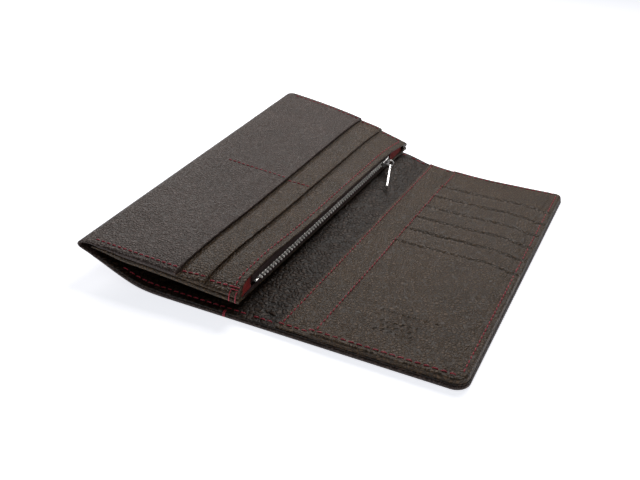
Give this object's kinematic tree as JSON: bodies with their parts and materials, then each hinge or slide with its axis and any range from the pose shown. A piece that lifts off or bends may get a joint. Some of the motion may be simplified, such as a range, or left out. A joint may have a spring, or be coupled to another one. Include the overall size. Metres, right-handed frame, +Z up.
{
  "type": "long wallet",
  "caption": "Open long bifold leather wallet with card slots, a long pocket and a raised leaf that holds a zipped coin pouch.",
  "frame": {"origin": "under the middle of the open wallet, on the surface it lies on", "axes": "+X across the open wallet towards the card side's edge, +Y along the wallet's length, +Z up"},
  "size_m": [0.1748, 0.1904, 0.0347],
  "materials": {
    "cover_leather": "pebbled, satin",
    "lining_leather": "pebbled, satin",
    "panel_leather": "fine grain, satin",
    "board": "matt fibre board",
    "red_lining": "satin twill",
    "zip_tape": "matt twill",
    "zip_teeth": "polished",
    "bright_metal": "polished",
    "thread": "waxed thread"
  },
  "bodies": {
    "right_half": {"cover_right": "cover_leather", "board_right": "board", "lining_right": "lining_leather", "long_pocket_panel": "panel_leather", "card_panel": "panel_leather", "card_slot_1": "panel_leather", "card_slot_2": "panel_leather", "card_slot_3": "panel_leather", "card_slot_4": "panel_leather", "card_slot_5": "panel_leather", "card_front_pocket": "panel_leather", "seam_long_pocket": "thread", "seam_card_panel_far": "thread", "seam_right_edge": "thread", "seam_right_near": "thread", "seam_right_far": "thread"},
    "spine": {"cover_spine": "cover_leather", "lining_spine": "lining_leather", "seam_spine": "thread"},
    "left_half": {"cover_left": "cover_leather", "board_left": "board", "lining_left": "lining_leather", "seam_left": "thread", "tack_cover": "thread"},
    "leaf": {"leaf_plain_panel": "panel_leather", "leaf_slot_strip": "panel_leather", "leaf_zip_panel": "panel_leather", "leaf_bottom_panel": "panel_leather", "pouch_lining_upper": "red_lining", "pouch_lining_lower": "red_lining", "zip_tape_upper": "zip_tape", "zip_tape_lower": "zip_tape", "pouch_gusset_near": "red_lining", "pouch_gusset_far": "red_lining", "zip_teeth_upper": "zip_teeth", "zip_teeth_lower": "zip_teeth", "zip_stop_near": "zip_teeth", "zip_stops_far": "zip_teeth", "seam_leaf_zip": "thread", "seam_leaf_near": "thread", "seam_leaf_far": "thread", "seam_leaf_divider": "thread", "tack_leaf": "thread"},
    "zip_slider_body": {"zip_slider": "bright_metal"},
    "pull_ring_body": {"pull_ring": "bright_metal"},
    "pull_bar_body": {"pull_bar": "bright_metal"}
  },
  "joints": [
    {"name": "spine_fold", "type": "hinge", "parent": "right_half", "child": "spine", "pos_m": [0.0091, 0, 0.00441], "axis": [0, -0.9998, -0.0178], "range_deg": [-81, 0]},
    {"name": "left_fold", "type": "hinge", "parent": "spine", "child": "left_half", "pos_m": [-0.0029, 0, 0.00611], "axis": [0, -0.9994, -0.0357], "range_deg": [-81, 0]},
    {"name": "leaf_lift", "type": "hinge", "parent": "left_half", "child": "leaf", "pos_m": [-0.0874, 0, 0.02308], "axis": [0, -0.9956, -0.0935], "range_deg": [0, 110]},
    {"name": "zip_slide", "type": "slide", "parent": "leaf", "child": "zip_slider_body", "axis": [0, 0.9996, 0.03], "range_m": [-0.133, 0]},
    {"name": "pull_side_swing", "type": "hinge", "parent": "zip_slider_body", "child": "pull_ring_body", "pos_m": [-0.00538, 0.062, 0.01486], "axis": [0, 0, 1], "range_deg": [-23, 0]},
    {"name": "pull_bar_lift", "type": "hinge", "parent": "pull_ring_body", "child": "pull_bar_body", "pos_m": [-0.00371, 0.06253, 0.01311], "axis": [-0.9537, -0.3007, 0], "range_deg": [0, 50]}
  ],
  "couplings": [
    {"joint": "pull_side_swing", "follows": "left_fold", "ratio": 0.28395}
  ]
}
